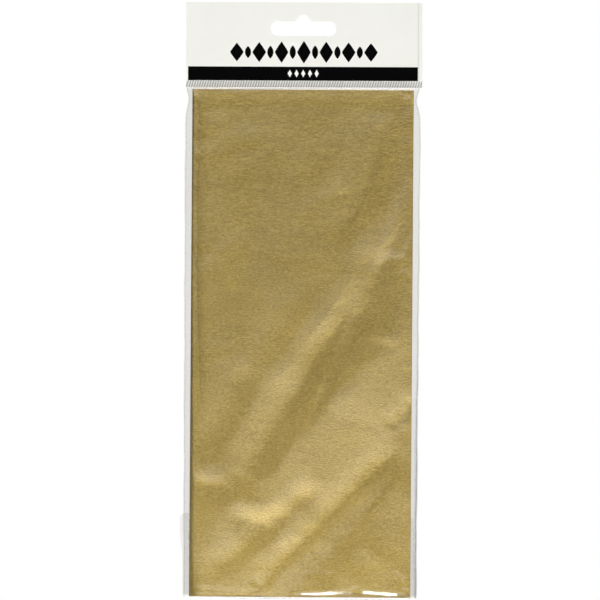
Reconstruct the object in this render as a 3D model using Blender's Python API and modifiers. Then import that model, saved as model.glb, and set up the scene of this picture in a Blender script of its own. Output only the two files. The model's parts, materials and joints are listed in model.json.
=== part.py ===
"""Hanging retail pack of folded gift tissue.

Six metallic tissue sheets, folded together into a flat zigzag stack, lie in a clear film bag. The bag's front
film runs under the stack and up its back as a closing flap, held by a strip of adhesive. A white folded header
with a hang slot is heat sealed to the bag's top by a ribbed bar, and the bag hinges in the film just under it.

Metres, +X to the right, +Z up, the front faces -Y. The origin is the top of the hang slot, where a peg bears.
"""

import math

import bmesh
import bpy

# Header: white film folded over at the top
HEADER_HEIGHT = 0.0389
HEADER_SHIFT = 0.0005  # the header's middle lies this far to the right of the slot's
HEADER_FILM = 0.0001
HEADER_LEAF_GAP = 0.0001
HEADER_CORNER = 0.0008
HEADER_SPREAD = 0.0003  # the flat header is this much wider at each side than the filled bag

# Hang slot: a long round-ended slot with a hump for the peg
SLOT_WIDTH = 0.0322
SLOT_HEIGHT = 0.0073
SLOT_END_RADIUS = 0.0033
HUMP_RISE = 0.0033
HUMP_RADIUS = 0.0030
HUMP_FLARE_RADIUS = 0.0022
SLOT_BELOW_TOP = 0.0062

# Ribbed heat seal
SEAL_HEIGHT = 0.0030
SEAL_THICKNESS = 0.0002
RIB_PITCH = 0.00125
RIB_DEPTH = 0.0001
RIB_STEPS = 4
SEAL_CLEARANCE = 0.0001

# Neck: the plain strip of film that bends between the seal and the bag
NECK_ABOVE_AXIS = 0.0002
NECK_BELOW_AXIS = 0.0003
NECK_HALF_OPENING = 0.0001
SHOULDER_DROP = 0.0005

# Folded tissue
SHEET_COUNT = 6
FOLD_COUNT = 6
PANEL_WIDTH = 0.1095
PANEL_HEIGHT = 0.2495
SHEET_THICKNESS = 0.00006  # two plies, because each sheet is first folded in half along its length
SHEET_GAP = 0.00002
PANEL_GAP = 0.00004
FREE_EDGE_INSET = 0.0003
ARC_STEPS = 8

# Clear film bag
FILM = 0.00006
STACK_CLEARANCE = 0.00012
SIDE_MARGIN = 0.00235
WELD_WIDTH = 0.0006
WELD_THICKNESS = 0.0002
WELD_CLEARANCE = 0.0001
FILM_CLEARANCE = 0.00006

# Closing flap and its adhesive
FLAP_HEIGHT = 0.0410
FLAP_SKEW = math.radians(2.9)
FLAP_CORNER = 0.0030
ADHESIVE_HEIGHT = 0.0100
ADHESIVE_BELOW_EDGE = 0.0030
ADHESIVE_SIDE_INSET = 0.0040
ADHESIVE_THICKNESS = 0.00012
ADHESIVE_CLEARANCE = 0.00003

BAG_LEAN = math.radians(0.15)  # the bag hangs a little askew under its header

# Heights and depths that follow from the sizes above
HEADER_TOP = SLOT_BELOW_TOP
HEADER_BOTTOM = HEADER_TOP - HEADER_HEIGHT
SEAL_TOP = HEADER_BOTTOM - SEAL_CLEARANCE
SEAL_BOTTOM = SEAL_TOP - SEAL_HEIGHT
NECK_AXIS = SEAL_BOTTOM - NECK_ABOVE_AXIS

SHEET_PITCH = SHEET_THICKNESS + SHEET_GAP
BUNDLE = SHEET_COUNT * SHEET_PITCH
PANEL_PITCH = BUNDLE + PANEL_GAP
STACK_DEPTH = FOLD_COUNT * PANEL_PITCH
FILM_INNER = STACK_DEPTH / 2 + STACK_CLEARANCE
FILM_OUTER = FILM_INNER + FILM
BAG_WIDTH = PANEL_WIDTH + 2 * SIDE_MARGIN
HEADER_WIDTH = BAG_WIDTH + 2 * (WELD_CLEARANCE + WELD_WIDTH + HEADER_SPREAD)
FLAP_INNER = FILM_OUTER + ADHESIVE_THICKNESS + 2 * ADHESIVE_CLEARANCE
FLAP_OUTER = FLAP_INNER + FILM

# Below the neck every height is measured from the neck's axis, in the leaning bag's own frame
RAISED_CORNER = BAG_WIDTH / 2 * math.tan(BAG_LEAN)  # how far the lean lifts the bag's left corner
BAG_TOP = -NECK_BELOW_AXIS - RAISED_CORNER
STACK_TOP = BAG_TOP - SHOULDER_DROP - STACK_CLEARANCE
STACK_BOTTOM = STACK_TOP - PANEL_HEIGHT
FLOOR_TOP = STACK_BOTTOM - STACK_CLEARANCE


def clear_scene():
    """Takes every object out of the scene."""
    for old in list(bpy.data.objects):
        bpy.data.objects.remove(old, do_unlink=True)


def new_collection(name):
    collection = bpy.data.collections.new(name)
    bpy.context.scene.collection.children.link(collection)
    return collection


def plain_material(name, colour, roughness, alpha=1.0):
    """A Principled material of one colour."""
    material = bpy.data.materials.new(name)
    material.use_nodes = True
    shader = material.node_tree.nodes["Principled BSDF"]
    shader.inputs["Base Color"].default_value = (*colour, 1.0)
    shader.inputs["Roughness"].default_value = roughness
    shader.inputs["Alpha"].default_value = alpha
    material.diffuse_color = (*colour, alpha)
    return material


def add_object(name, mesh, collection, material, parent=None):
    """Links a mesh as a named object, with its material and an empty to ride on."""
    thing = bpy.data.objects.new(name, mesh)
    collection.objects.link(thing)
    thing.parent = parent
    mesh.materials.append(material)
    return thing


def swept_mesh(name, path, sweep):
    """An open surface: a chain of points carried along one vector."""
    shape = bmesh.new()
    points = [shape.verts.new(point) for point in path]
    chain = [shape.edges.new(pair) for pair in zip(points, points[1:])]
    swept = bmesh.ops.extrude_edge_only(shape, edges=chain)
    moved = [item for item in swept["geom"] if isinstance(item, bmesh.types.BMVert)]
    bmesh.ops.translate(shape, verts=moved, vec=sweep)
    bmesh.ops.recalc_face_normals(shape, faces=shape.faces)
    mesh = bpy.data.meshes.new(name)
    shape.to_mesh(mesh)
    shape.free()
    return mesh


def thicken(thing, thickness, offset):
    """Gives an open surface its wall."""
    wall = thing.modifiers.new("wall", "SOLIDIFY")
    wall.thickness = thickness
    wall.offset = offset
    wall.use_even_offset = True
    return wall


def plate(name, outline, depth, collection, material, parent=None):
    """A flat plate standing in the XZ plane, from an outline of (x, z) points, centred on its origin."""
    curve = bpy.data.curves.new(name, "CURVE")
    curve.dimensions = "2D"
    curve.fill_mode = "BOTH"
    curve.extrude = depth / 2
    spline = curve.splines.new("POLY")
    spline.points.add(len(outline) - 1)
    for point, (x, z) in zip(spline.points, outline):
        point.co = (x, z, 0.0, 1.0)
    spline.use_cyclic_u = True
    flat = bpy.data.objects.new(name + "_outline", curve)
    bpy.context.scene.collection.objects.link(flat)
    evaluated = flat.evaluated_get(bpy.context.evaluated_depsgraph_get())
    mesh = bpy.data.meshes.new_from_object(evaluated)
    bpy.data.objects.remove(flat, do_unlink=True)
    shape = bmesh.new()
    shape.from_mesh(mesh)
    bmesh.ops.remove_doubles(shape, verts=shape.verts, dist=1e-6)
    bmesh.ops.recalc_face_normals(shape, faces=shape.faces)
    shape.to_mesh(mesh)
    shape.free()
    mesh.name = name
    thing = add_object(name, mesh, collection, material, parent)
    thing.rotation_euler.x = math.radians(90)
    return thing


def arc(centre, radius, start, end, steps=ARC_STEPS):
    """Points round a centre, from one angle to another in degrees."""
    angles = [math.radians(start + (end - start) * step / steps) for step in range(steps + 1)]
    return [(centre[0] + radius * math.cos(a), centre[1] + radius * math.sin(a)) for a in angles]


def mirrored(points):
    """The same points across x = 0, in reverse order."""
    return [(-x, z) for x, z in reversed(points)]


def slot_outline():
    """The hang slot, from the top of its hump down the right side and back up the left."""
    slot_top = -HUMP_RISE
    slot_bottom = slot_top - SLOT_HEIGHT
    hump_centre = (0.0, -HUMP_RADIUS)
    # The flare is an arc that touches the hump's circle and the slot's straight top
    reach = HUMP_RADIUS + HUMP_FLARE_RADIUS
    flare_height = slot_top + HUMP_FLARE_RADIUS
    across = math.sqrt(max(reach ** 2 - (flare_height - hump_centre[1]) ** 2, 0.0))
    flare_centre = (across, flare_height)
    touch = math.degrees(math.atan2(flare_height - hump_centre[1], across))
    end_radius = min(SLOT_END_RADIUS, SLOT_HEIGHT / 2)
    end_x = SLOT_WIDTH / 2 - end_radius
    hump = arc(hump_centre, HUMP_RADIUS, 90, touch)
    flare = arc(flare_centre, HUMP_FLARE_RADIUS, 180 + touch, 270)[1:]
    upper_end = arc((end_x, slot_top - end_radius), end_radius, 90, 0)
    lower_end = arc((end_x, slot_bottom + end_radius), end_radius, 0, -90)
    right = hump + flare + upper_end + lower_end
    return right + mirrored(right)[:-1]


def corner_cutter_outline(side):
    """What the header's rounded top corner leaves out, at the left (-1) or the right (1)."""
    edge = HEADER_SHIFT + side * HEADER_WIDTH / 2
    centre = (edge - side * HEADER_CORNER, HEADER_TOP - HEADER_CORNER)
    start, end = (0, 90) if side > 0 else (180, 90)
    spare = HEADER_CORNER
    outside = [
        (centre[0], HEADER_TOP + spare),
        (edge + side * spare, HEADER_TOP + spare),
        (edge + side * spare, centre[1]),
    ]
    return arc(centre, HEADER_CORNER, start, end) + outside


def cut(thing, cutter):
    """Takes the cutter's volume out of a piece."""
    cutter.hide_render = True
    cutter.display_type = "WIRE"
    difference = thing.modifiers.new(cutter.name, "BOOLEAN")
    difference.operation = "DIFFERENCE"
    difference.solver = "EXACT"
    difference.object = cutter


def make_header(parts, cutters, white):
    """One film folded over at the top, with the hang slot punched through both leaves."""
    middle = (HEADER_LEAF_GAP + HEADER_FILM) / 2
    left = HEADER_SHIFT - HEADER_WIDTH / 2
    fold = arc((0.0, HEADER_TOP - middle - HEADER_FILM / 2), middle, 180, 0)
    profile = [(-middle, HEADER_BOTTOM)] + fold + [(middle, HEADER_BOTTOM)]
    path = [(left, y, z) for y, z in profile]
    mesh = swept_mesh("header_film", path, (HEADER_WIDTH, 0.0, 0.0))
    header = add_object("header_film", mesh, parts, white)
    thicken(header, HEADER_FILM, 0.0)
    through = 20 * middle
    cut(header, plate("slot_punch", slot_outline(), through, cutters, white))
    for side, name in ((-1, "left_corner_trim"), (1, "right_corner_trim")):
        cut(header, plate(name, corner_cutter_outline(side), through, cutters, white))


def make_seal(parts, film):
    """The ribbed bar: a corrugated strip as wide as the header."""
    ribs = round(HEADER_WIDTH / RIB_PITCH)
    step = HEADER_WIDTH / (ribs * RIB_STEPS)
    left = HEADER_SHIFT - HEADER_WIDTH / 2
    waves = [RIB_DEPTH * math.sin(2 * math.pi * index / RIB_STEPS) for index in range(ribs * RIB_STEPS + 1)]
    path = [(left + index * step, wave, SEAL_BOTTOM) for index, wave in enumerate(waves)]
    mesh = swept_mesh("crimp_seal", path, (0.0, 0.0, SEAL_HEIGHT))
    seal = add_object("crimp_seal", mesh, parts, film)
    thicken(seal, SEAL_THICKNESS, 0.0)


def make_film_panel(name, side, parts, film, bag):
    """Front (-1) or back (1) film: a shallow dish, flat over the stack, drawn in to its top and side edges."""
    half = BAG_WIDTH / 2
    columns = [-half, -half + SIDE_MARGIN, half - SIDE_MARGIN, half]
    rows = [FLOOR_TOP + FILM_CLEARANCE, BAG_TOP - SHOULDER_DROP, BAG_TOP]
    row_depth = [FILM_INNER, FILM_INNER, NECK_HALF_OPENING]
    shape = bmesh.new()
    bmesh.ops.create_grid(shape, x_segments=len(columns) - 1, y_segments=len(rows) - 1, size=1.0)
    for vert in shape.verts:
        column = round((vert.co.x + 1) / 2 * (len(columns) - 1))
        row = round((vert.co.y + 1) / 2 * (len(rows) - 1))
        at_edge = column in (0, len(columns) - 1)
        depth = min(row_depth[row], WELD_THICKNESS / 2) if at_edge else row_depth[row]
        vert.co = (columns[column], side * depth, rows[row])
    if side > 0:
        bmesh.ops.reverse_faces(shape, faces=shape.faces)
    mesh = bpy.data.meshes.new(name)
    shape.to_mesh(mesh)
    shape.free()
    panel = add_object(name, mesh, parts, film, bag)
    thicken(panel, FILM, 1.0)


def make_side_weld(name, side, parts, film, bag):
    """The bead where front and back film are welded and cut at one side."""
    inner = BAG_WIDTH / 2 + WELD_CLEARANCE
    outline = [
        (side * inner, BAG_TOP),
        (side * (inner + WELD_WIDTH), BAG_TOP),
        (side * (inner + WELD_WIDTH), FLOOR_TOP + FILM_CLEARANCE),
        (side * inner, FLOOR_TOP + FILM_CLEARANCE),
    ]
    plate(name, outline, WELD_THICKNESS, parts, film, bag)


def sheet_path(sheet):
    """The zigzag of one sheet seen from above: straight panels joined by turns round the panel gaps."""
    outermost = BUNDLE + PANEL_GAP / 2
    turn_x = PANEL_WIDTH / 2 - outermost
    from_face = (sheet + 0.5) * SHEET_PITCH
    front = -STACK_DEPTH / 2 + PANEL_GAP / 2
    points = [(PANEL_WIDTH / 2 - FREE_EDGE_INSET, front + from_face)]
    for turn in range(FOLD_COUNT - 1):
        at_left = turn % 2 == 0
        centre = front + (turn + 1) * PANEL_PITCH - PANEL_GAP / 2
        inside_out = from_face if not at_left else BUNDLE - from_face
        radius = inside_out + PANEL_GAP / 2
        if at_left:
            points += arc((-turn_x, centre), radius, 270, 90)
        else:
            points += arc((turn_x, centre), radius, -90, 90)
    ends_right = FOLD_COUNT % 2 == 0
    end_x = PANEL_WIDTH / 2 - FREE_EDGE_INSET
    points.append((end_x if ends_right else -end_x, points[-1][1]))
    return points


def make_tissue(parts, paper, bag):
    """Six sheets that share one zigzag fold, one inside the other."""
    for sheet in range(SHEET_COUNT):
        name = f"tissue_sheet_{sheet + 1}"
        path = [(x, y, STACK_BOTTOM) for x, y in sheet_path(sheet)]
        mesh = swept_mesh(name, path, (0.0, 0.0, PANEL_HEIGHT))
        tissue = add_object(name, mesh, parts, paper, bag)
        thicken(tissue, SHEET_THICKNESS, 0.0)


def make_bottom_fold(parts, film, bag):
    """The strip of film under the stack, from the front's lower edge to the flap."""
    front = -FILM_OUTER
    middle = FLOOR_TOP - FILM / 2
    path = [(-BAG_WIDTH / 2, front, middle), (-BAG_WIDTH / 2, FLAP_OUTER, middle)]
    mesh = swept_mesh("bottom_fold", path, (BAG_WIDTH, 0.0, 0.0))
    strip = add_object("bottom_fold", mesh, parts, film, bag)
    thicken(strip, FILM, 0.0)


def skewed_outline(low, high, inset, corner):
    """A band of the skewed flap between two heights above its lower edge, with rounded upper corners."""
    base = FLOOR_TOP + FILM_CLEARANCE
    half = BAG_WIDTH / 2 - inset
    slide = math.tan(FLAP_SKEW)
    right_top = arc((half - corner, high - corner), corner, 0, 90) if corner else [(half, high)]
    left_top = arc((corner - half, high - corner), corner, 90, 180) if corner else [(-half, high)]
    square = [(-half, low), (half, low)] + right_top + left_top
    return [(x - slide * height, base + height) for x, height in square]


def make_flap(parts, film, tacky, bag):
    """The flap up the back, and the adhesive strip on its inner face."""
    outline = skewed_outline(0.0, FLAP_HEIGHT, 0.0, FLAP_CORNER)
    flap = plate("closing_flap", outline, FILM, parts, film, bag)
    flap.location.y = (FLAP_INNER + FLAP_OUTER) / 2
    high = FLAP_HEIGHT - ADHESIVE_BELOW_EDGE
    outline = skewed_outline(high - ADHESIVE_HEIGHT, high, ADHESIVE_SIDE_INSET, 0.0)
    strip = plate("flap_adhesive", outline, ADHESIVE_THICKNESS, parts, tacky, bag)
    strip.location.y = (FILM_OUTER + FLAP_INNER) / 2


def make_bag_frame(parts):
    """The empty on the neck's axis that everything under the seal rides on."""
    bag = bpy.data.objects.new("bag_frame", None)
    parts.objects.link(bag)
    bag.location.z = NECK_AXIS
    bag.rotation_euler.y = BAG_LEAN
    return bag


def main():
    clear_scene()
    parts = new_collection("tissue_pack")
    cutters = new_collection("cutters")
    white = plain_material("white_film", (0.87, 0.86, 0.81), 0.35)
    sealed = plain_material("sealed_film", (0.80, 0.80, 0.80), 0.30)
    clear = plain_material("clear_film", (0.90, 0.91, 0.92), 0.12, alpha=0.3)
    gold = plain_material("gold_tissue", (0.42, 0.29, 0.10), 0.42)
    gold.node_tree.nodes["Principled BSDF"].inputs["Metallic"].default_value = 0.7
    tacky = plain_material("adhesive", (0.85, 0.84, 0.78), 0.5, alpha=0.6)
    bag = make_bag_frame(parts)
    make_header(parts, cutters, white)
    make_seal(parts, sealed)
    make_film_panel("front_panel", -1, parts, clear, bag)
    make_film_panel("back_panel", 1, parts, clear, bag)
    make_side_weld("left_side_weld", -1, parts, clear, bag)
    make_side_weld("right_side_weld", 1, parts, clear, bag)
    make_tissue(parts, gold, bag)
    make_bottom_fold(parts, clear, bag)
    make_flap(parts, clear, tacky, bag)


main()
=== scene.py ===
"""Looks of a hanging pack of folded gold tissue: film, folded sheets, ribbed seal, printed header and flap.

Lengths are metres in the row's frame. The bag's own frame has its origin on the neck's axis and leans with
the bag: x to the right, depth below the axis, and stand-off in front of or behind the middle of the stack.
"""

import json
import math

import bpy
import numpy as np
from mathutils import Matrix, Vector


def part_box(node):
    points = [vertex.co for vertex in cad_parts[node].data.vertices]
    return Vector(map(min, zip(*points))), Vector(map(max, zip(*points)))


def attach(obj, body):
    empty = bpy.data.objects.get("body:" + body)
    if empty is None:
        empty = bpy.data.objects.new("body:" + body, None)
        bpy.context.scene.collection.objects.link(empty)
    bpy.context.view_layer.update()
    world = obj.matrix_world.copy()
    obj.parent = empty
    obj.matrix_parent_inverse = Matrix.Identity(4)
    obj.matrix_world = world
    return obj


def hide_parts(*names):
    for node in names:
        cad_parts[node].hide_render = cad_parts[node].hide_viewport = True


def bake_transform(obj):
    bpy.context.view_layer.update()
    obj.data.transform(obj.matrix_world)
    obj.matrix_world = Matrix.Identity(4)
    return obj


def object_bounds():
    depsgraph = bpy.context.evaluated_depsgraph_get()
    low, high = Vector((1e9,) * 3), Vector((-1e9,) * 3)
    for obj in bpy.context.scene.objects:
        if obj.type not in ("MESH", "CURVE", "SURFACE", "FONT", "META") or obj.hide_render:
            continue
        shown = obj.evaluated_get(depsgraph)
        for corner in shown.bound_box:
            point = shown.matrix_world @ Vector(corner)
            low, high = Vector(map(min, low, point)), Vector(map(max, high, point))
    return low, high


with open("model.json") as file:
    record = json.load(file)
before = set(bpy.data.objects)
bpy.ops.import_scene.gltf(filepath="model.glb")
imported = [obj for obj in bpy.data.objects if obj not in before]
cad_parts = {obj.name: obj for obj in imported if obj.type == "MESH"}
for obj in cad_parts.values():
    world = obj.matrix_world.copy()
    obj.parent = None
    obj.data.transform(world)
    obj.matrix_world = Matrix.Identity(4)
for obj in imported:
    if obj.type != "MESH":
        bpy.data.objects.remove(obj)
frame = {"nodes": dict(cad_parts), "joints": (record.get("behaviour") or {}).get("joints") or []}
cad_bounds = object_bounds()

# ---------------------------------------------------------------- sizes from the frame

JOINTS = {joint["name"]: joint for joint in frame["joints"]}
NECK = np.array(JOINTS["neck_bend"]["pos_m"])
FLAP_AXIS = JOINTS["flap_open"]["axis"]
LEAN = math.atan2(FLAP_AXIS[2], -FLAP_AXIS[0])
TURN = np.array([
    [math.cos(LEAN), 0.0, math.sin(LEAN)],
    [0.0, 1.0, 0.0],
    [-math.sin(LEAN), 0.0, math.cos(LEAN)],
])


def bag_box(node):
    """Lowest and highest corner of a CAD node in the bag's frame: x, y and height above the neck's axis."""
    mesh = frame["nodes"][node].data
    points = np.empty(len(mesh.vertices) * 3)
    mesh.vertices.foreach_get("co", points)
    local = (points.reshape(-1, 3) - NECK) @ TURN
    return local.min(0), local.max(0)


SHEETS = sorted(node for node in frame["nodes"] if node.startswith("tissue_sheet_"))
STACK_LOW, STACK_HIGH = bag_box(SHEETS[0])
FRONT_LOW, FRONT_HIGH = bag_box("front_panel")
FLAP_LOW, FLAP_HIGH = bag_box("closing_flap")
TAPE_LOW, TAPE_HIGH = bag_box("flap_adhesive")
WELD_LOW, WELD_HIGH = bag_box("right_side_weld")
FLOOR_LOW, FLOOR_HIGH = bag_box("bottom_fold")
HEADER_LOW, HEADER_HIGH = (np.array(corner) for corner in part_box("header_film"))
SEAL_LOW, SEAL_HIGH = (np.array(corner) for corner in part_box("crimp_seal"))

MM = 0.001
STACK_TOP = -STACK_HIGH[2]
STACK_HEIGHT = STACK_HIGH[2] - STACK_LOW[2]
STACK_HALF = STACK_HIGH[0]
FILM_FACE = -FRONT_LOW[1]
BAG_HALF = WELD_HIGH[0]
WELD_HALF = (WELD_HIGH[1] - WELD_LOW[1]) / 2
FLOOR = -FLOOR_HIGH[2]
FILM_TOP = SEAL_LOW[2] - NECK[2] - 0.02 * MM
FILM = 0.06 * MM
INK = 0.012 * MM
SHEET = 0.06 * MM
SHEET_PITCH = 0.08 * MM
PANEL_GAP = 0.04 * MM
FOLDS = 6
RIB_PITCH = 1.25 * MM
RIB_SLANT = 0.30
RIB_START = -2 * math.pi * HEADER_LOW[0] / RIB_PITCH


def hang(points):
    """Bag-frame points carried into the row's frame: turned by the lean about the neck's axis."""
    return points @ TURN.T + NECK


# ---------------------------------------------------------------- meshes from grids


def add_piece(name, points, faces, finish, sharp=40):
    """A mesh object at the origin from points and faces, smooth but for edges sharper than an angle."""
    mesh = bpy.data.meshes.new(name)
    mesh.from_pydata(points.tolist(), [], faces.tolist())
    mesh.shade_smooth()
    mesh.set_sharp_from_angle(angle=math.radians(sharp))
    mesh.materials.append(finish)
    piece = bpy.data.objects.new(name, mesh)
    bpy.context.scene.collection.objects.link(piece)
    return piece


def facing_out(points, faces):
    """The faces turned so that the volume they enclose, a sum of signed tetrahedra, is positive."""
    a, b, c, d = (points[faces[:, corner]] for corner in range(4))
    volume = np.einsum("ij,ij->", a, np.cross(b, c) + np.cross(c, d))
    return faces if volume > 0 else faces[:, ::-1]


def shell(name, outer, inner, finish, sharp=40):
    """A thin closed piece: two grids of the same size and a rim that joins their borders."""
    rows, columns = outer.shape[:2]
    index = np.arange(rows * columns).reshape(rows, columns)
    quads = np.stack([index[:-1, :-1], index[:-1, 1:], index[1:, 1:], index[1:, :-1]], -1).reshape(-1, 4)
    loop = np.concatenate([index[0, :-1], index[:-1, -1], index[-1, :0:-1], index[:0:-1, 0]])
    onward = np.roll(loop, -1)
    count = rows * columns
    rim = np.stack([loop, loop + count, onward + count, onward], -1)
    faces = np.concatenate([quads, quads[:, ::-1] + count, rim])
    points = np.concatenate([outer.reshape(-1, 3), inner.reshape(-1, 3)])
    return add_piece(name, points, facing_out(points, faces), finish, sharp)


def normals_of(grid):
    """Unit normals of a grid of points: the cross product of its two differences."""
    across = np.gradient(grid, axis=1)
    down = np.gradient(grid, axis=0)
    normal = np.cross(across, down)
    return normal / np.maximum(np.linalg.norm(normal, axis=2, keepdims=True), 1e-12)


def thin_shell(name, middle, thickness, finish, sharp=40):
    """A closed piece about a grid: the grid moved half the thickness along its normals each way."""
    offset = normals_of(middle) * thickness / 2
    return shell(name, middle + offset, middle - offset, finish, sharp)


def steps(*runs):
    """One increasing chain of values from runs of (start, end, spacing)."""
    parts = [np.linspace(a, b, max(int(round(abs(b - a) / gap)), 1), endpoint=False) for a, b, gap in runs]
    return np.append(np.concatenate(parts), runs[-1][1])


# ---------------------------------------------------------------- smooth fields


def smooth(low, high, value):
    """0 below low, 1 above high, and 3t^2 - 2t^3 between."""
    share = np.clip((value - low) / (high - low), 0.0, 1.0)
    return share * share * (3 - 2 * share)


def bump(value, centre, width):
    """A bell: e to the minus square of the distance from centre over width."""
    return np.exp(-(((value - centre) / width) ** 2))


def lattice_noise(x, depth, across, down, seed):
    """Random values on a lattice of the two pitches, smoothed between its points, from -1 to 1."""
    u = (x + 0.2) / across
    v = (depth + 0.2) / down
    column, row = np.floor(u).astype(int), np.floor(v).astype(int)
    values = np.random.default_rng(seed).uniform(-1, 1, (row.max() + 3, column.max() + 3))
    a, b = smooth(0, 1, u - column), smooth(0, 1, v - row)
    top = values[row, column] * (1 - a) + values[row, column + 1] * a
    low = values[row + 1, column] * (1 - a) + values[row + 1, column + 1] * a
    return top * (1 - b) + low * b


def crumple(x, depth, across, down, seed):
    """Sharp-crested crumples: one minus the size of a lattice noise, squared."""
    return (1 - np.abs(lattice_noise(x, depth, across, down, seed))) ** 2


def from_route(x, depth, route):
    """Signed distance from a chain of straight runs, positive to its right, and the share of its length."""
    corners = np.array(route, float) * MM
    runs = np.diff(corners, axis=0)
    lengths = np.hypot(runs[:, 0], runs[:, 1])
    nearest = np.full(np.shape(x), np.inf)
    side, share, passed = np.ones(np.shape(x)), np.zeros(np.shape(x)), 0.0
    for (x0, d0), (dx, dd), length in zip(corners, runs, lengths):
        ux, ud = dx / length, dd / length
        run = np.clip((x - x0) * ux + (depth - d0) * ud, 0.0, length)
        away_x, away_d = x - x0 - run * ux, depth - d0 - run * ud
        distance = np.hypot(away_x, away_d)
        nearer = distance < nearest
        nearest = np.where(nearer, distance, nearest)
        side = np.where(nearer, np.where(away_x * ud - away_d * ux < 0, -1.0, 1.0), side)
        share = np.where(nearer, (passed + run) / lengths.sum(), share)
        passed += length
    return side * nearest, share


def soft_ramp(value, radius):
    """0 below zero and the value itself above, rounded between: half of v plus the root of v^2 plus r^2."""
    return (value + np.sqrt(value * value + radius * radius)) / 2


def fold(x, depth, route, rise, left, fall, right, start=0.12, end=0.12, radius=0.9):
    """A fold along a route: it rises over the left width up to the route and falls over the right width.

    Three soft bends make its section, so both flanks are nearly flat; it fades in and out along its length.
    """
    distance, share = from_route(x, depth, route)
    left, right, radius = left * MM, right * MM, min(radius, 0.3 * left, 0.3 * right) * MM
    up, down = rise / left, fall / right
    bends = up * soft_ramp(distance + left, radius) - (up + down) * soft_ramp(distance, radius)
    height = (bends + down * soft_ramp(distance - right, radius)) * MM
    fade = smooth(0, start, share) if start else 1.0
    close = smooth(0, end, 1 - share) if end else 1.0
    return height * fade * close


def blurred(field, rows, columns):
    """A grid blurred by bells of these widths in cells, its borders repeated."""
    for axis, width in ((0, rows), (1, columns)):
        reach = int(3 * width) + 1
        weights = np.exp(-((np.arange(-reach, reach + 1) / width) ** 2))
        weights /= weights.sum()
        padding = [(reach, reach) if axis == side else (0, 0) for side in (0, 1)]
        wide = np.pad(field, padding, mode="edge")
        size = field.shape[axis]
        field = sum(w * np.take(wide, range(k, k + size), axis=axis) for k, w in enumerate(weights))
    return field


def spread_high(field, rows, columns):
    """Each cell of a grid raised to the highest value within this many cells."""
    high = field
    for axis, reach in ((0, rows), (1, columns)):
        padding = [(reach, reach) if axis == side else (0, 0) for side in (0, 1)]
        wide = np.pad(high, padding, mode="edge")
        size = field.shape[axis]
        high = np.max([np.take(wide, range(k, k + size), axis=axis) for k in range(2 * reach + 1)], axis=0)
    return high


# ---------------------------------------------------------------- the folded sheet's front

# Folds of the front panel: route from above, in mm across and below the sheet's top; then its rise and the
# width of it on the upper left, its fall and the width of it on the lower right, and the shares of its length
# over which it fades in and out
FRONT_FOLDS = [
    ([(37.5, 60), (35, 76), (30, 94), (18, 117), (4, 139)], 0.80, 9, 0.60, 24, 0.34, 0.4),
    ([(31, 98), (20, 114), (8, 130), (-3, 149), (-16, 171), (-26, 190), (-31, 199)],
     1.35, 13, 1.65, 16, 0.34, 0.08),
    ([(11, 193), (0, 202), (-10, 211), (-22, 213), (-36, 209)], 1.20, 7.0, 0.75, 11, 0.25, 0.2),
    ([(-62, 195), (-54, 195.3), (-39, 195.8), (-21, 199), (-12, 203)], 0.42, 9, 0.95, 9),
    ([(49, 175), (33, 191), (20, 204), (2, 222), (-14, 240.5), (-24, 252)], 0.80, 10, 1.55, 10, 0.16, 0),
    ([(25, 205), (9, 226), (-7, 247)], 0.10, 7, 1.00, 15, 0.6, 0),
    ([(0, 220), (-12, 235), (-20, 249)], 0.60, 4.5, 0.50, 7),
    ([(-12, 213), (-32, 230), (-50, 245)], 1.00, 9, 0.75, 6, 0.12, 0.5),
    ([(-24, 128), (-34, 155), (-50, 182)], 0.70, 14, 0.38, 8, 0.3, 0.2),
    ([(39, 12), (38, 22), (34, 42), (27, 57), (17, 75)], 0.50, 15, 0.65, 8),
    ([(-50, 132), (-37, 129), (-23, 123)], 0.16, 4.0, 0.14, 6, 0.3, 0.4),
    ([(0, 62), (13, 55), (24, 49)], 0.22, 3, 0.22, 5),
    ([(-46, 91), (-37, 82), (-28, 73)], 0.28, 3, 0.26, 5),
    ([(-54, 36), (-42, 31), (-35, 25), (-20, 24)], 0.34, 3.5, 0.34, 6),
    ([(-54, 22), (-47, 18), (-36, 17)], 0.22, 3, 0.22, 5),
    ([(45, 167), (50, 160), (56, 153)], 0.50, 3.5, 0.50, 6),
    ([(30, 122), (40, 125), (50, 127)], 0.20, 6, 0.36, 3, 0.3, 0.3),
    ([(-2, 96), (-10, 118), (-24, 140)], 0.36, 10, 0.50, 8, 0.3, 0.3),
    ([(-8, 18), (-22, 34), (-38, 46)], 0.18, 9, 0.18, 8, 0.3, 0.3),
    ([(22, 20), (8, 32), (-8, 42)], 0.18, 8, 0.18, 8, 0.3, 0.3),
]
# Two long banks in the lower right: the crest line, rise and width before it, fall and width after it
BANKS = [
    ([(110, 112), (46, 176.5), (33, 191), (20, 204), (2, 222), (-14, 240.5), (-50, 281)], 3.3, 37, 0.15, 20),
    ([(93, 175.5), (81, 198), (48, 261), (36, 284)], 3.3, 35, 0.1, 10),
]
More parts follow.
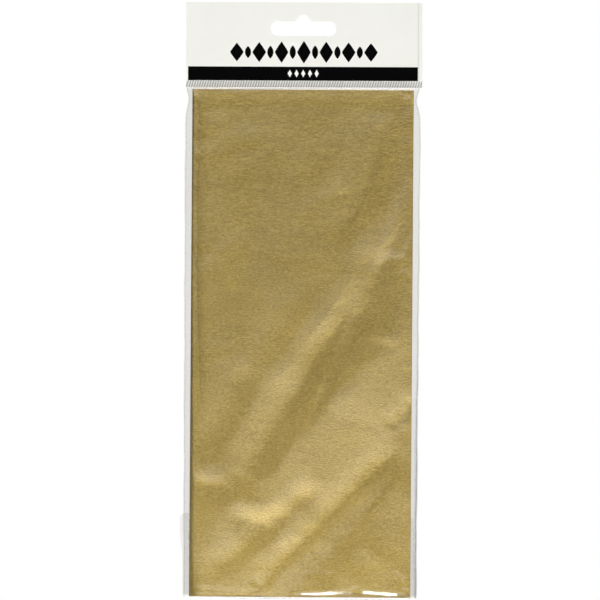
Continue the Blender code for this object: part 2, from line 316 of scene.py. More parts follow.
# Short sharp creases that run in from an edge
EDGE_CREASES = [
    ([(-55, 19.5), (-44, 20.5), (-36, 19)], 0.10, 1.5, 0.10, 2.2),
    ([(-55, 32), (-49, 33), (-43, 31)], 0.12, 1.6, 0.12, 2.2),
    ([(-55, 75.5), (-47, 75), (-38, 76)], 0.12, 1.7, 0.12, 2.6),
    ([(-55, 129), (-48, 130), (-41, 129)], 0.08, 1.7, 0.08, 2.4),
    ([(-55, 194.6), (-45, 195.6), (-30, 196.5)], 0.20, 1.5, 0.20, 3.0),
    ([(55, 27), (48, 26), (42, 28)], 0.10, 1.7, 0.10, 2.4),
    ([(55, 85), (50, 83), (44, 84)], 0.12, 1.7, 0.12, 2.8),
    ([(55, 131), (47, 133), (38, 131)], 0.08, 1.8, 0.08, 2.4),
    ([(55, 163), (50, 160), (46, 162)], 0.10, 1.7, 0.10, 2.4),
    ([(-52, 5), (-46, 8), (-39, 7)], 0.10, 1.4, 0.10, 2.0),
    ([(36, 6), (44, 8), (52, 6)], 0.10, 1.5, 0.10, 2.0),
]


def loft(x, depth):
    """How far the folded bundle puffs out: little at the top, most low down, rounded off at the left."""
    full = 0.60 * MM + 1.3 * MM * smooth(0.05, 0.215, depth)
    round_width = 0.7 * MM + 0.8 * MM * smooth(0.08, 0.21, depth)
    from_left = np.clip((x + STACK_HALF) / round_width, 0.0, 1.0)
    flare = 1 + 0.06 * smooth(0.030, 0.054, x)
    return full * flare * (1 - (1 - from_left) ** 1.6) * (0.6 + 0.4 * smooth(0.0, 0.005, depth))


def relief(x, depth):
    """The front panel's own shape on the puffed bundle: folds, banks, edge creases and crumples."""
    folds = sum(fold(x, depth, *given) for given in FRONT_FOLDS)
    banks = sum(fold(x, depth, *given, start=0, end=0, radius=2.5) for given in BANKS)
    wavy = 0.09 * MM * (1 + lattice_noise(x + 0.4 * depth, depth, 0.034, 0.05, 4))
    inside = smooth(-STACK_HALF, -STACK_HALF + 6 * MM, x) * smooth(-1 * MM, 9 * MM, depth)
    broad = (folds + banks + wavy) * inside
    creases = sum(fold(x, depth, *given, start=0, end=0.7) for given in EDGE_CREASES)
    fine = 0.05 * MM * crumple(x + 0.3 * depth, depth, 0.0075, 0.0048, 11)
    fine = fine + 0.028 * MM * crumple(x, depth, 0.0036, 0.0021, 12)
    return broad + (creases + fine) * smooth(0.0, 0.002, x + STACK_HALF) * smooth(0.0, 0.004, depth + 0.002)


def paper_rise(x, depth):
    """How far the front panel stands off the flat stack."""
    return loft(x, depth) + relief(x, depth)


def bottom_lift(x):
    """How far the front panel's lower edge stops above the stack's: a step up to the right of the middle."""
    step = 1.9 * smooth(-0.012, 0.024, x) - 0.5 * smooth(0.030, 0.050, x)
    return MM * (0.5 + step + 0.25 * np.sin(x / 0.006))


# ---------------------------------------------------------------- shaders


class Signal:
    """A shader socket that takes part in arithmetic; each operator adds one Math node."""

    def __init__(self, tree, socket):
        self.tree = tree
        self.socket = socket

    def math(self, operation, *others):
        node = self.tree.nodes.new("ShaderNodeMath")
        node.operation = operation
        for slot, value in zip(node.inputs, (self, *others)):
            plug(self.tree, slot, value)
        return Signal(self.tree, node.outputs[0])

    def __add__(self, other):
        return self.math("ADD", other)

    def __sub__(self, other):
        return self.math("SUBTRACT", other)

    def __rsub__(self, other):
        return self.math("MULTIPLY_ADD", -1.0, other)

    def __mul__(self, other):
        return self.math("MULTIPLY", other)

    def __truediv__(self, other):
        return self.math("DIVIDE", other)

    def __pow__(self, other):
        return self.math("POWER", other)

    def __neg__(self):
        return self.math("MULTIPLY", -1.0)

    def __abs__(self):
        return self.math("ABSOLUTE")

    __radd__ = __add__
    __rmul__ = __mul__

    def held(self):
        return self.math("MAXIMUM", 0.0).math("MINIMUM", 1.0)

    def rising(self, low, high):
        """0 below low, 1 above high, straight between."""
        return ((self - low) / (high - low)).held()


def plug(tree, slot, value):
    """Gives a socket its link or its constant."""
    if isinstance(value, Signal):
        tree.links.new(value.socket, slot)
    elif isinstance(value, tuple) and len(value) == 3 and slot.type == "RGBA":
        slot.default_value = (*value, 1.0)
    else:
        slot.default_value = value


class Finish:
    """A material or world whose nodes come one at a time from add()."""

    def __init__(self, owner, output):
        owner.use_nodes = True
        self.owner = owner
        self.tree = owner.node_tree
        self.tree.nodes.clear()
        self.output = self.tree.nodes.new(output)

    def add(self, kind, inputs=None, output=0, **settings):
        """A node of a type, with its settings set first, then its sockets' values or links."""
        node = self.tree.nodes.new("ShaderNode" + kind)
        for name, value in settings.items():
            setattr(node, name, value)
        for name, value in (inputs or {}).items():
            plug(self.tree, node.inputs[name], value)
        return Signal(self.tree, node.outputs[output])

    def place(self):
        """The point on the piece, in the row's frame."""
        return self.add("TexCoord", output="Object")

    def parts(self, vector):
        """The x, y and z of a vector."""
        node = self.tree.nodes.new("ShaderNodeSeparateXYZ")
        plug(self.tree, node.inputs[0], vector)
        return [Signal(self.tree, socket) for socket in node.outputs]

    def noise(self, scale, detail=2.0, stretch=(1.0, 1.0, 1.0), roughness=0.5):
        """Noise of a scale per metre, its pattern squeezed by the stretch along each axis."""
        spot = self.add("Mapping", {"Vector": self.place(), "Scale": stretch})
        inputs = {"Vector": spot, "Scale": scale, "Detail": detail, "Roughness": roughness}
        return self.add("TexNoise", inputs)

    def mixed(self, share, first, second):
        """Two colours mixed by a share."""
        return self.add("Mix", {0: share, 6: first, 7: second}, output=2, data_type="RGBA")

    def relief(self, height, distance):
        """A normal from a height signal, whose whole range is this distance."""
        return self.add("Bump", {"Height": height, "Distance": distance, "Strength": 1.0})

    def show(self, shader):
        self.tree.links.new(shader.socket, self.output.inputs["Surface"])
        return self.owner


def material(name):
    return Finish(bpy.data.materials.new(name), "ShaderNodeOutputMaterial")


def film_finish(name, tint, haze, gloss=0.07, crinkle=0.02 * MM):
    """Clear film: mostly see-through, mirror-like more and more towards grazing, with a faint even haze."""
    finish = material(name)
    fine = finish.noise(420.0, 3.0, (1.0, 1.0, 0.55))
    normal = finish.relief(fine, crinkle)
    facing = finish.add("LayerWeight", {"Blend": 0.5, "Normal": normal}, output="Facing")
    patchy = finish.noise(38.0, 2.0, (1.0, 1.0, 0.4)).rising(0.35, 0.75)
    solid = (haze + 0.012 * patchy + 0.85 * facing ** 4.0).held()
    clear = finish.add("BsdfTransparent", {"Color": tint})
    skin = {"Base Color": (0.96, 0.955, 0.95), "Metallic": 0.85, "Roughness": gloss, "Normal": normal}
    sheen = finish.add("BsdfPrincipled", skin)
    return finish.show(finish.add("MixShader", {0: solid, 1: clear, 2: sheen}))


def gold_finish():
    """Metallic tissue: satin gold with a crosswise crepe, deeper low down, cloudy where the coating thins."""
    finish = material("gold_tissue")
    crepe = finish.noise(1700.0, 1.0, (0.40, 1.0, 1.0), 0.6)
    speckle = finish.noise(3300.0, 1.0, (0.7, 1.0, 1.0))
    cloud = finish.noise(55.0, 3.0, (0.7, 1.0, 1.0))
    dents = finish.noise(280.0, 2.0, (0.36, 1.0, 1.0))
    _, _, z = finish.parts(finish.place())
    handled = (-z).rising(0.12, 0.24)
    normal = finish.relief((0.60 + 0.55 * handled) * crepe + 0.25 * speckle + 0.9 * dents, 0.00014)
    deep, pale = (0.418, 0.290, 0.045), (0.672, 0.502, 0.138)
    tone = 0.19 * cloud + 0.53 * crepe + 0.28 * speckle
    skin = {
        "Base Color": finish.mixed(tone.rising(0.34, 0.66), deep, pale),
        "Metallic": 0.9,
        "Coat Weight": 0.9,
        "Coat Roughness": 0.30,
        "Roughness": 0.31 + 0.10 * cloud + 0.08 * speckle,
        "Normal": normal,
    }
    return finish.show(finish.add("BsdfPrincipled", skin))


def white_film_finish():
    """Opaque white film: warm white, satin, faintly wavy and mottled, with the line of its side trim."""
    finish = material("white_film")
    mottle = finish.noise(45.0, 3.0)
    fine = finish.noise(1500.0, 2.0)
    x, _, _ = finish.parts(finish.place())
    line_x = HEADER_HIGH[0] - 1.95 * MM
    trim = (1 - abs(x - float(line_x)) / (0.28 * MM)).held()
    normal = finish.relief(0.8 * finish.noise(28.0, 1.0) + 0.02 * fine - 0.3 * trim, 0.0006)
    colour = finish.mixed(mottle.rising(0.3, 0.7), (0.855, 0.860, 0.810), (0.880, 0.885, 0.840))
    colour = finish.mixed(0.30 * trim, colour, (0.62, 0.62, 0.58))
    skin = {
        "Base Color": colour,
        "Roughness": 0.36 + 0.08 * fine,
        "Specular IOR Level": 0.35,
        "Normal": normal,
    }
    return finish.show(finish.add("BsdfPrincipled", skin))


def ink_finish(name, colour):
    """Printed ink: even and slightly glossy, with a fine press grain."""
    finish = material(name)
    grain = finish.noise(2200.0, 2.0)
    shade = finish.mixed(grain, colour, tuple(1.3 * part + 0.0005 for part in colour))
    skin = {
        "Base Color": shade,
        "Roughness": 0.30 + 0.1 * grain,
        "Specular IOR Level": 0.02,
        "Normal": finish.relief(grain, 0.000004),
    }
    return finish.show(finish.add("BsdfPrincipled", skin))


def seal_finish():
    """Heat-sealed film: lighter on the ribs that the jaw pressed and darker grey in the grooves between them,
    partly the film's cloudy white press marks and partly painted shade in the grooves.
    """
    finish = material("sealed_film")
    speck = finish.noise(1400.0, 2.0)
    cloud = finish.noise(160.0, 2.0, (1.0, 1.0, 0.3))
    x, y, z = finish.parts(finish.place())
    turns = (x - RIB_SLANT * z) * (2 * math.pi / RIB_PITCH) + float(RIB_START)
    ribs = 0.5 + 0.5 * turns.math("SINE")
    # Painted shade: the colour darkens in the grooves between the ribs; partly the film's own press marks,
    # partly shade painted in.
    milky_and_groove_shade = (ribs + 0.35 * cloud - 0.18).rising(0.15, 0.75)
    colour = finish.mixed(milky_and_groove_shade, (0.42, 0.415, 0.40), (0.79, 0.785, 0.76))
    skin = {"Base Color": colour, "Roughness": 0.20 + 0.12 * speck, "Normal": finish.relief(speck, 0.00001)}
    solid = finish.add("BsdfPrincipled", skin)
    clear = finish.add("BsdfTransparent", {"Color": (0.86, 0.86, 0.86)})
    return finish.show(finish.add("MixShader", {0: 0.80 + 0.18 * cloud, 1: clear, 2: solid}))


def adhesive_finish():
    """Tacky strip: clear with a slight yellow veil and small trapped bubbles."""
    finish = material("adhesive")
    bubbles = finish.noise(700.0, 2.0).rising(0.55, 0.62)
    skin = {"Base Color": (0.80, 0.79, 0.72), "Roughness": 0.35 + 0.3 * bubbles}
    solid = finish.add("BsdfPrincipled", skin)
    clear = finish.add("BsdfTransparent", {"Color": (0.97, 0.965, 0.94)})
    return finish.show(finish.add("MixShader", {0: 0.16 + 0.25 * bubbles, 1: clear, 2: solid}))


# ---------------------------------------------------------------- folded tissue


def sheet_stations(sheet, spacing):
    """The zigzag of one sheet seen from above: points, unit normals, panel number, share of the loft.

    Straight panels of the given spacings are joined by half turns about the panel gaps; each sheet keeps its
    distance from the bundle's face, so its turn's radius swaps between narrow and wide. The loft is whole on
    the front panel and falls by a third with each panel behind it.
    """
    bundle = len(SHEETS) * SHEET_PITCH
    pitch = bundle + PANEL_GAP
    turn_x = STACK_HALF - bundle - PANEL_GAP / 2
    edge = STACK_HALF - 0.3 * MM
    from_face = (sheet + 0.5) * SHEET_PITCH
    at, facing, panel_at = [], [], []
    y = -FOLDS * pitch / 2 + PANEL_GAP / 2 + from_face
    for panel in range(FOLDS):
        way = -1 if panel % 2 == 0 else 1
        start = edge if panel == 0 else -way * turn_x
        stop = edge if panel == FOLDS - 1 else way * turn_x
        run = steps((start, stop, spacing[panel]))
        at.append(np.stack([run, np.full(len(run), y)], 1))
        facing.append(np.tile([0.0, float(way)], (len(run), 1)))
        panel_at.append(np.full(len(run), float(panel)))
        if panel == FOLDS - 1:
            break
        radius = (bundle - from_face if panel % 2 == 0 else from_face) + PANEL_GAP / 2
        turn = np.linspace(0, math.pi, 9)[1:-1]
        centre = y + radius
        at.append(np.stack([way * (turn_x + radius * np.sin(turn)), centre - radius * np.cos(turn)], 1))
        facing.append(-way * np.stack([way * np.sin(turn), -np.cos(turn)], 1))
        panel_at.append(panel + turn / math.pi)
        y = centre + radius
    at, facing, panel_at = (np.concatenate(parts) for parts in (at, facing, panel_at))
    return at, facing, panel_at, np.clip(1 - panel_at / 3, 0.0, 1.0)


def make_sheet(number, node, gold):
    """One sheet: its zigzag carried down the stack and puffed out; the outermost also has the folds."""
    outermost = number == 0
    spacing = [1.2 * MM, 0.008, 0.008, 0.012, 0.012, 2.2 * MM] if outermost else [0.008] * FOLDS
    at, facing, panel_at, share = sheet_stations(number, spacing)
    x, t = np.meshgrid(at[:, 0], steps((0.0, 1.0, 1 / 215 if outermost else 1 / 60)))
    y, panel, share = (np.broadcast_to(row, x.shape) for row in (at[:, 1], panel_at, share))
    front = np.clip(1 - panel, 0.0, 1.0) * outermost
    ragged = 0.25 * MM * lattice_noise(x, y * 40 + 0.01 * number, 0.02, 0.02, 31 + number)
    depth = t * (STACK_HEIGHT - bottom_lift(x) * front - np.abs(ragged))
    y = y - share * loft(x, depth) - front * relief(x, depth)
    if outermost:
        y = y + np.clip(panel - FOLDS + 2, 0.0, 1.0) * back_rise(x, depth)
    middle = np.stack([x, y, -(STACK_TOP + depth)], -1)
    across = np.concatenate([facing, np.zeros((len(facing), 1))], 1) * SHEET / 2
    piece = shell(f"folded_tissue_{number + 1}", hang(middle + across), hang(middle - across), gold, 60)
    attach(piece, "bag")
    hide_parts(node)


def back_rise(x, depth):
    """How far the back panel stands off the flat stack: shallow swells and crumples, flat under the flap."""
    swell = 0.18 * MM * (1 + lattice_noise(x - 0.5 * depth, depth, 0.03, 0.07, 7))
    small = 0.05 * MM * crumple(x, depth, 0.009, 0.006, 8)
    from_side, from_foot = STACK_HALF - np.abs(x), STACK_HEIGHT - depth
    inside = smooth(0.0, 0.008, from_side) * smooth(0.0, 0.008, depth) * smooth(0.0, 0.008, from_foot)
    pressed = 1 - 0.9 * smooth(0.055, 0.043, from_foot)
    return (swell + small) * inside * pressed


# ---------------------------------------------------------------- film bag


def side_edge(side, depth):
    """Half-width of the bag at a depth: drawn in under the header's corners, then nearly straight."""
    pinch = (1.5 if side < 0 else 1.9) * MM * bump(depth, 0.0062, 0.0052)
    low = (0.5 if side < 0 else 0.3) * MM * smooth(0.0, 0.25, depth)
    wave = 0.10 * MM * np.sin(depth / 0.0085 + side) + 0.07 * MM * np.sin(depth / 0.0031 + 2 * side)
    return BAG_HALF - 0.05 * MM - pinch - low - wave * smooth(0.004, 0.02, depth)


def film_grid(spacing, row_spacing):
    """Shares across the bag from -1 to 1, and depths from the seal down: close at its borders."""
    margin = 4.2 * MM / BAG_HALF
    fine = 0.35 * MM / BAG_HALF
    middle = (margin - 1.0, 1.0 - margin, spacing / BAG_HALF)
    across = steps((-1.0, middle[0], fine), middle, (middle[1], 1.0, fine))
    shoulder, foot = (-FILM_TOP, 9 * MM, 0.35 * MM), (FLOOR - 13 * MM, FLOOR - 1 * MM, 0.4 * MM)
    down = steps(shoulder, (shoulder[1], foot[0], row_spacing), foot)
    return np.meshgrid(across, down)


def film_stand_off(share, x, depth, full, side_width):
    """Film's distance from the bag's middle plane: full over the stack, drawn in to the welds and the seal.

    Towards a weld it falls as the square root of the distance, a taut curve; towards the seal it falls in the
    last millimetre.
    """
    edge = (1 - np.abs(share)) * BAG_HALF
    to_weld = np.sqrt(np.clip((edge - 0.4 * MM) / side_width, 0.0, 1.0))
    to_seal = smooth(0.1 * MM, 1.15 * MM, depth)
    least = 0.9 * WELD_HALF
    return least + (full - least) * to_weld * to_seal


# Tension lines in the front film that run from its shoulders and edges: route, rise and width, fall and width
FILM_LINES = [
    ([(-57, 1.6), (-54, 3.2), (-49, 8)], 0.40, 1.2, 0.40, 1.8),
    ([(-56, 4), (-53, 9), (-50, 17)], 0.30, 1.6, 0.30, 2.2),
    ([(57, 1.5), (54, 3.0), (49, 6)], 0.35, 1.2, 0.35, 1.8),
    ([(56, 4), (53.5, 9), (51, 16)], 0.30, 1.3, 0.30, 2.1),
    ([(-56, 14), (-53, 22), (-50, 34)], 0.20, 2.0, 0.20, 2.8),
    ([(44, 20), (42, 28), (42, 36)], 0.16, 1.7, 0.16, 2.8),
    ([(38, 93), (39, 86), (44, 82.5), (52, 85)], 0.60, 2.4, 0.50, 3.4),
    ([(56, 70), (50, 82), (43, 86)], 0.30, 2.1, 0.30, 3.4),
    ([(56, 96), (53, 92), (49, 88)], 0.22, 1.8, 0.22, 2.8),
    ([(56, 150), (52, 160), (49, 170)], 0.26, 2.0, 0.26, 3.1),
    ([(56, 196), (53, 205), (51, 218)], 0.22, 2.0, 0.22, 3.1),
    ([(-56, 176), (-52, 190), (-44, 196)], 0.30, 2.1, 0.30, 3.4),
    ([(-57, 215), (-53, 228), (-51, 243)], 0.30, 2.0, 0.30, 2.8),
    ([(-53, 245.5), (-40, 246.6), (-26, 247.4), (-12, 246.4)], 0.70, 1.8, 0.70, 2.0, 0.2, 0.3),
    ([(-24, 240), (-19, 244), (-17, 248)], 0.50, 1.3, 0.50, 1.8, 0.3, 0.1),
    ([(-6, 249.6), (8, 249.2), (18, 248.7), (27, 248.0)], 2.0, 1.2, 2.0, 2.6, 0.25, 0.03),
    ([(29, 248.0), (38, 248.6), (46, 249.2), (55, 249.8)], 2.0, 1.2, 2.0, 2.6, 0.03, 0.35),
    ([(23.5, 246.0), (28.5, 244.8)], 0.9, 1.0, 0.9, 1.3, 0.3, 0.03),
    ([(-53, 248.5), (-38, 248.2), (-22, 249.0)], 0.75, 0.8, 0.75, 1.0, 0.1, 0.2),
    ([(45, 236), (50, 241), (53, 246)], 0.45, 1.6, 0.45, 2.2, 0.2, 0.2),
    ([(47.5, 1.6), (50, 4.2), (51.5, 7)], 0.34, 0.9, 0.34, 1.3),
    ([(48.5, 0.6), (51, 0.2), (53.5, 0.0)], 0.26, 0.7, 0.26, 1.0),
    ([(-54.8, 0.3), (-54.0, 2.0), (-53.2, 4.6)], 0.34, 0.8, 0.34, 1.2),
    ([(-41, 2.6), (-36, 1.8), (-30, 2.4)], 0.20, 0.8, 0.20, 1.2),
    ([(-30, 2.0), (-26, 1.2), (-21, 1.6)], 0.20, 0.8, 0.20, 1.2),
    ([(56, 226), (53, 236), (50, 246)], 0.28, 1.8, 0.28, 2.8),
    ([(12, 210), (24, 196), (36, 178)], 0.14, 3.9, 0.14, 5.6),
    ([(-30, 60), (-22, 48), (-12, 38)], 0.08, 3.9, 0.08, 5.6),
]


def front_film_points():
    """The front film: it spans the paper's folds, has its own tension lines and rolls under at the bottom."""
    share, depth = film_grid(1.05 * MM, 1.05 * MM)
    x = np.where(share < 0, side_edge(-1, depth), side_edge(1, depth)) * share
    on_sheet = np.clip(depth - STACK_TOP, 0.0, STACK_HEIGHT)
    paper = paper_rise(np.clip(x, -STACK_HALF, STACK_HALF), on_sheet)
    over = blurred(spread_high(paper, 2, 2), 1.6, 1.6)
    over = np.maximum(over, paper)
    lines = sum(fold(x, on_sheet, *given) for given in FILM_LINES)
    loose = 0.05 * MM * (1 + lattice_noise(x, depth, 0.011, 0.030, 21))
    full = FILM_FACE + 0.12 * MM + over + lines + loose
    y = -film_stand_off(share, x, depth, full, 3.1 * MM)
    middle = np.stack([x, y, -depth], -1)
    last = middle[-1]
    roll = 1 * MM
    sag = bottom_sag(last[:, 0])
    turn = np.linspace(0, math.pi / 2, 7)[1:, None]
    curl_y = last[:, 1] + np.minimum(roll, -last[:, 1] * 0.9) * (1 - np.cos(turn))
    curl_z = last[:, 2] - (roll + sag) * np.sin(turn)
    curl = np.stack([np.broadcast_to(last[:, 0], curl_y.shape), curl_y, curl_z], -1)
    return np.concatenate([middle, curl])


def bottom_sag(x):
    """How far the film hangs below the stack: a low belly with a few soft waves."""
    wave = 0.35 * np.sin(x / 0.0115 + 0.6) + 0.2 * np.sin(x / 0.0042)
    belly = 0.35 + 0.25 * smooth(-0.01, 0.03, x) + 0.5 * np.abs(wave)
    return MM * belly * smooth(0, 6 * MM, BAG_HALF - np.abs(x))


def back_film_points():
    """The back film: close over the stack's back, with long shallow wrinkles."""
    share, depth = film_grid(2.0 * MM, 1.9 * MM)
    x = np.where(share < 0, side_edge(-1, depth), side_edge(1, depth)) * share
    on_sheet = np.clip(depth - STACK_TOP, 0.0, STACK_HEIGHT)
    paper = back_rise(np.clip(x, -STACK_HALF, STACK_HALF), on_sheet)
    long_lines = 0.10 * MM * crumple(x + 0.25 * depth, depth, 0.013, 0.06, 23)
    full = FILM_FACE + 0.03 * MM + blurred(spread_high(paper, 2, 2), 2.0, 2.0) + long_lines * 0.6
    under_flap = smooth(FLOOR - 0.046, FLOOR - 0.040, depth)
    full = full * (1 - under_flap) + np.minimum(full, FILM_FACE + 0.10 * MM) * under_flap
    y = film_stand_off(share, x, depth, full, 3.1 * MM)
    return np.stack([x, y, -depth], -1)


def bend_at_neck(piece):
    """Bakes the piece's transform into its mesh; no bend at the neck is made here."""
    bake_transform(piece)


def make_front_and_back(clear):
    """Both film faces of the bag."""
    front = front_film_points()
    grids = {"front_film": ("front_panel", front), "back_film": ("back_panel", back_film_points())}
    for name, (node, middle) in grids.items():
        piece = thin_shell(name, hang(middle), FILM, clear)
        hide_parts(node)
        bend_at_neck(piece)
    return front[-1]


def make_side_weld(hand, side, clear):
    """The weld bead down one side: an oval that follows the bag's edge, a little beaded by the hot wire."""
    depth = steps((-FILM_TOP, FLOOR - 0.4 * MM, 1.2 * MM))
    ring = np.linspace(0, 2 * math.pi, 13)
    down, turn = np.meshgrid(depth, ring, indexing="ij")
    centre = side * (side_edge(side, down) - 0.05 * MM)
    beads = 1 + 0.12 * np.sin(down / 0.0011 + 3 * side)
    x = centre + 0.38 * MM * beads * np.cos(turn)
    y = 0.9 * WELD_HALF * beads * np.sin(turn)
    points = hang(np.stack([x, y, -down], -1)[:, :-1])
    piece = add_tube(f"{hand}_weld_bead", points, clear)
    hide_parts(f"{hand}_side_weld")
    bend_at_neck(piece)


def add_tube(name, rings, finish):
    """A closed tube from rings of points: quads between neighbouring rings and a fan at each end."""
    rows, around = rings.shape[:2]
    index = np.arange(rows * around).reshape(rows, around)
    ahead = np.roll(index, -1, axis=1)
    sides = np.stack([index[:-1], ahead[:-1], ahead[1:], index[1:]], -1).reshape(-1, 4)
    first, last = rows * around, rows * around + 1
    points = np.concatenate([rings.reshape(-1, 3), rings[0].mean(0)[None], rings[-1].mean(0)[None]])
    faces = facing_out(points, sides)
    flipped = not np.array_equal(faces, sides)
    caps = [(first, b, a) if not flipped else (first, a, b) for a, b in zip(index[0], ahead[0])]
    caps += [(last, a, b) if not flipped else (last, b, a) for a, b in zip(index[-1], ahead[-1])]
    mesh = bpy.data.meshes.new(name)
    mesh.from_pydata(points.tolist(), [], faces.tolist() + caps)
    mesh.shade_smooth()
    mesh.set_sharp_from_angle(angle=math.radians(50))
    mesh.materials.append(finish)
    piece = bpy.data.objects.new(name, mesh)
    bpy.context.scene.collection.objects.link(piece)
    return piece


def make_bottom(front_edge, clear):
    """The film under the stack: from the front film's rolled edge to the flap, hanging in a shallow belly."""
    back_y = FLAP_HIGH[1] - FILM / 2
    share = np.linspace(0, 1, 15)[:, None]
    x = np.broadcast_to(front_edge[:, 0], (15, len(front_edge)))
    y = front_edge[:, 1] + (back_y - 0.8 * MM - front_edge[:, 1]) * share
    low = front_edge[:, 2] * (1 - share) + (-FLOOR - 0.55 * MM) * share
    z = low - 0.35 * MM * np.sin(math.pi * share) * (1 + 0.5 * np.sin(x / 0.007))
    middle = np.stack([x, y, z], -1)
    piece = thin_shell("bottom_film", hang(middle), FILM, clear)
    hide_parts("bottom_fold")
    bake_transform(piece)
    return middle[-1]


def flap_points(base_edge):
    """The flap: turned up in a quarter roll from the bottom film's rear edge, then flat and a little skewed.

    Its sideways slide grows with height times the skew; long wrinkles fan out from the fold.
    """
    height_full = FLAP_HIGH[2] + FLOOR
    skew = math.tan(math.radians(2.9))
    wall = FLAP_HIGH[1] - FILM / 2
    foot, rim = 4 * MM, height_full - 2.5 * MM
    heights = steps((0.9 * MM, foot, 0.5 * MM), (foot, rim, 1.3 * MM), (rim, height_full, 0.35 * MM))
    base = base_edge[None]
    turn = np.linspace(0, math.pi / 2, 6)[:-1, None]
    roll_x = np.broadcast_to(base[..., 0], (5, base.shape[1]))
    roll_y = base[..., 1] + (wall - base[..., 1]) * np.sin(turn)
    roll_z = base[..., 2] + (-FLOOR + 0.9 * MM - base[..., 2]) * (1 - np.cos(turn))
    roll = np.stack([roll_x, roll_y, roll_z], -1)
    up = heights[:, None]
    x0 = np.broadcast_to(base[..., 0], (len(heights), base.shape[1]))
    corner = 3.0 * MM
    from_top = np.clip((up - (height_full - corner)) / corner, 0.0, 1.0)
    tuck = corner * (1 - np.sqrt(np.clip(1 - from_top ** 2, 0.0, 1.0)))
    half = np.abs(base[0, :, 0]).max()
    x = x0 * (half + 0.25 * MM * np.sin(up / 0.004) - tuck) / half - skew * up
    rise = np.broadcast_to(up, x.shape)
    ripple = 0.10 * MM * crumple(x + 0.2 * up, rise, 0.012, 0.03, 41) * smooth(0.0, 0.006, up)
    lifted = 0.35 * MM * smooth(BAG_HALF - 0.004, BAG_HALF + 0.003, -x) * smooth(0.006, 0.03, up)
    top_lift = 0.25 * MM * smooth(height_full - 0.003, height_full, up) * (1 + np.sin(x / 0.008))
    y = wall + ripple - lifted + top_lift
    flat = np.stack([x, y, rise - FLOOR], -1)
    return np.concatenate([roll, flat])


def make_flap(base_edge, clear, tacky):
    """The closing flap, turned up in a roll at its lower edge, and the strip on its inner face."""
    piece = thin_shell("closing_flap_film", hang(flap_points(base_edge)), FILM, clear)
    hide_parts("closing_flap")
    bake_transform(piece)
    make_tape(tacky)


def make_tape(tacky):
    """The adhesive strip: a thin slab with wavy borders and an uneven thickness."""
    rows, columns = 12, 110
    u, v = np.meshgrid(np.linspace(-1, 1, columns), np.linspace(0, 1, rows))
    low, high = TAPE_LOW[2], TAPE_HIGH[2]
    z = low + (high - low) * v
    middle_x = (TAPE_LOW[0] + TAPE_HIGH[0]) / 2
    half = (TAPE_HIGH[0] - TAPE_LOW[0]) / 2 - 0.3 * MM
    x = middle_x + half * u + 0.12 * MM * np.sin(z / 0.0017) * u
    z = z + 0.15 * MM * np.sin(x / 0.006) * (2 * v - 1)
    y = np.full(x.shape, (TAPE_LOW[1] + TAPE_HIGH[1]) / 2)
    thick = (TAPE_HIGH[1] - TAPE_LOW[1]) * (0.75 + 0.15 * lattice_noise(x, -z, 0.006, 0.004, 51))
    swell = np.stack([np.zeros(x.shape), thick / 2, np.zeros(x.shape)], -1)
    grid = np.stack([x, y, z], -1)
    strip = shell("adhesive_strip", hang(grid + swell), hang(grid - swell), tacky)
    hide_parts("flap_adhesive")
    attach(strip, "flap")


# ---------------------------------------------------------------- header


def make_seal(sealed):
    """The ribbed bar: slanted sine ribs in step on both faces, fading out at its top and bottom."""
    left, right = HEADER_LOW[0], HEADER_HIGH[0]
    low, high = SEAL_LOW[2], HEADER_LOW[2] - 0.02 * MM
    x, z = np.meshgrid(steps((left, right, RIB_PITCH / 9)), np.linspace(high, low, 13))
    share = (z - low) / (high - low)
    ribs = 0.5 + 0.5 * np.sin(2 * math.pi * (x - RIB_SLANT * z) / RIB_PITCH + RIB_START)
    press = smooth(0.0, 0.16, share) * smooth(0.0, 0.12, 1 - share)
    uneven = 1 + 0.25 * lattice_noise(x, z, 0.004, 0.002, 61)
    swell = 0.15 * MM * ribs * press * uneven
    thick = 0.11 * MM + 0.02 * MM * lattice_noise(x, z, 0.009, 0.004, 62)
    outer = np.stack([x, -(thick + swell), z], -1)
    inner = np.stack([x, thick - swell * 0.8, z], -1)
    piece = shell("ribbed_seal", outer, inner, sealed, 70)
    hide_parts("crimp_seal")
    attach(piece, "header")


def printed(name, outline_pairs, face_y, side, finish, thickness=INK):
    """Ink on the header: closed plates from pairs of border lines, a left and a right x for each height."""
    for number, (left, right, heights) in enumerate(outline_pairs):
        share = np.linspace(0, 1, 3)[None]
        x = left[:, None] + (right - left)[:, None] * share
        z = np.broadcast_to(heights[:, None], x.shape)
        near = np.stack([x, np.full(x.shape, face_y), z], -1)
        far = near + np.array([0.0, side * thickness, 0.0])
        piece = shell(f"{name}_{number + 1}", near, far, finish)
        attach(piece, "header")


def lozenge(centre_x, centre_z, width, height, power=1.0, count=33):
    """Border lines of a diamond: half-width falls from the middle as one minus the distance to a power."""
    heights = centre_z + height / 2 * np.cos(np.linspace(0, math.pi, count))
    reach = np.clip(1 - (2 * np.abs(heights - centre_z) / height) ** power, 0.004, 1.0) * width / 2
    return centre_x - reach, centre_x + reach, heights


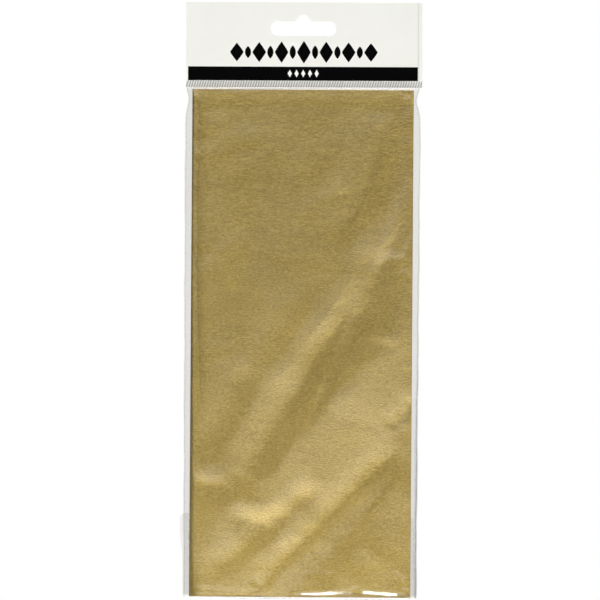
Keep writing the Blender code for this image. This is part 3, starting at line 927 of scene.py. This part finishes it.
def make_print(black, white):
    """The black band front and back, a row of tapering lozenges over it and five small white ones in it."""
    front, back = HEADER_LOW[1], HEADER_HIGH[1]
    band_top, band_low = HEADER_LOW[2] + 6.95 * MM, HEADER_LOW[2] + 0.10 * MM
    heights = np.array([band_top, (band_top + band_low) / 2, band_low])
    left = np.full(3, HEADER_LOW[0] + 0.95 * MM)
    right = np.full(3, HEADER_HIGH[0] - 2.2 * MM)
    printed("front_band", [(left, right, heights)], front, -1, black)
    printed("back_band", [(left, right, heights)], back, 1, black)
    row_z = HEADER_HIGH[2] - 24.8 * MM
    row = []
    for place in range(-6, 7):
        row_x = 0.3 * MM + place * 5.5 * MM
        shrink = 1 - 0.03 * abs(place)
        if place % 2 == 0:
            row.append(lozenge(row_x, row_z, 6.6 * MM, 11.2 * MM * shrink, 1.15))
        else:
            row.append(lozenge(row_x, row_z, 3.0 * MM, 7.0 * MM * shrink, 2.2))
    printed("ornament", row, front, -1, black)
    band_z = (band_top + band_low) / 2 + 0.1 * MM
    marks = [lozenge(place * 3.3 * MM, band_z, 2.1 * MM, 3.8 * MM, 1.0, 9) for place in range(-2, 3)]
    printed("band_mark", marks, front - INK, -1, white, INK / 2)


# ---------------------------------------------------------------- stage


def make_stage():
    """A pale round floor that fades out to the white surround."""
    radius, floor_z = 0.75, cad_bounds[0].z - 0.075
    rings, spokes = np.linspace(0.002, radius, 24), np.linspace(0, 2 * math.pi, 97)[:-1]
    reach, turn = np.meshgrid(rings, spokes, indexing="ij")
    points = np.stack([reach * np.cos(turn), reach * np.sin(turn), np.full(reach.shape, floor_z)], -1)
    index = np.arange(reach.size).reshape(reach.shape)
    ahead = np.roll(index, -1, axis=1)
    faces = np.stack([index[:-1], index[1:], ahead[1:], ahead[:-1]], -1).reshape(-1, 4)
    finish = material("floor")
    x, y, _ = finish.parts(finish.place())
    distance = (x * x + y * y) ** 0.5
    solid = finish.add("BsdfPrincipled", {"Base Color": (0.78, 0.78, 0.78), "Roughness": 0.9})
    clear = finish.add("BsdfTransparent")
    shader = finish.add("MixShader", {0: distance.rising(radius * 0.95, radius * 0.2), 1: clear, 2: solid})
    floor = add_piece("floor", points.reshape(-1, 3), faces, finish.show(shader))


def make_surround():
    """A white room to the eye; to the surfaces, bright above and to the front and dim at the sides.

    Each light is a patch of directions: a broad key at half height in front and behind, a soft ceiling, a
    small strong lamp high up in front and behind, a weak glow from below and from the right, and side fill.
    """
    world = bpy.data.worlds.new("surround")
    bpy.context.scene.world = world
    finish = Finish(world, "ShaderNodeOutputWorld")
    x, y, z = finish.parts(finish.add("TexCoord", output="Generated"))
    to_key = (abs(0.16 * x + 0.75 * y) + 0.64 * z).rising(0.70, 0.97)
    key = to_key * to_key * (3 - 2 * to_key)
    lamp = (0.34 * abs(y) + 0.94 * z).rising(0.983, 0.990)
    overhead = 1.05 * z.rising(0.50, 0.9) + 18.0 * lamp
    below = (-z).rising(0.05, 0.7)
    right_hand = (-2.0 * x * y).rising(0.20, 0.85)
    sideways = abs(x).rising(0.50, 0.85)
    fill = 0.45 * x.rising(0.45, 0.90) + 0.12 * (-x).rising(0.80, 0.98)
    level = (0.10 + 1.75 * key + 0.22 * right_hand + 0.20 * below) * (1 - 0.95 * sideways) + overhead + fill
    lit = finish.add("Background", {"Color": (1.0, 0.995, 0.985), "Strength": level})
    seen = finish.add("Background", {"Color": (1.0, 1.0, 1.0), "Strength": 1.0})
    to_eye = finish.add("LightPath", output="Is Camera Ray")
    finish.show(finish.add("MixShader", {0: to_eye, 1: lit, 2: seen}))


def make_camera():
    """Square on to the front from a long way off, so that the pack nearly fills a 600 by 600 view."""
    distance, view_width = 3.2, 0.2952
    camera = bpy.data.objects.new("camera", bpy.data.cameras.new("camera"))
    camera.data.sensor_width = 36.0
    camera.data.lens = camera.data.sensor_width * distance / view_width
    camera.location = (-0.0011, -distance, -0.1405)
    camera.rotation_mode = "XYZ"
    camera.rotation_euler = (math.radians(90), math.radians(-0.25), 0.0)
    bpy.context.scene.collection.objects.link(camera)
    bpy.context.scene.camera = camera


def main():
    view = bpy.context.scene.view_settings
    view.view_transform = "Standard"
    view.look = "None"
    bpy.context.scene.cycles.transparent_max_bounces = 32
    make_camera()
    make_surround()
    make_stage()
    clear = film_finish("clear_film", (0.957, 0.954, 0.948), 0.030)
    gold = gold_finish()
    frame["nodes"]["header_film"].data.materials.clear()
    frame["nodes"]["header_film"].data.materials.append(white_film_finish())
    make_seal(seal_finish())
    make_print(ink_finish("black_ink", (0.0012, 0.0012, 0.0014)), ink_finish("white_ink", (0.80, 0.80, 0.77)))
    front_edge = make_front_and_back(clear)
    make_side_weld("left", -1, clear)
    make_side_weld("right", 1, clear)
    base_edge = make_bottom(front_edge, clear)
    make_flap(base_edge, clear, adhesive_finish())
    for number, node in enumerate(SHEETS):
        make_sheet(number, node, gold)


main()
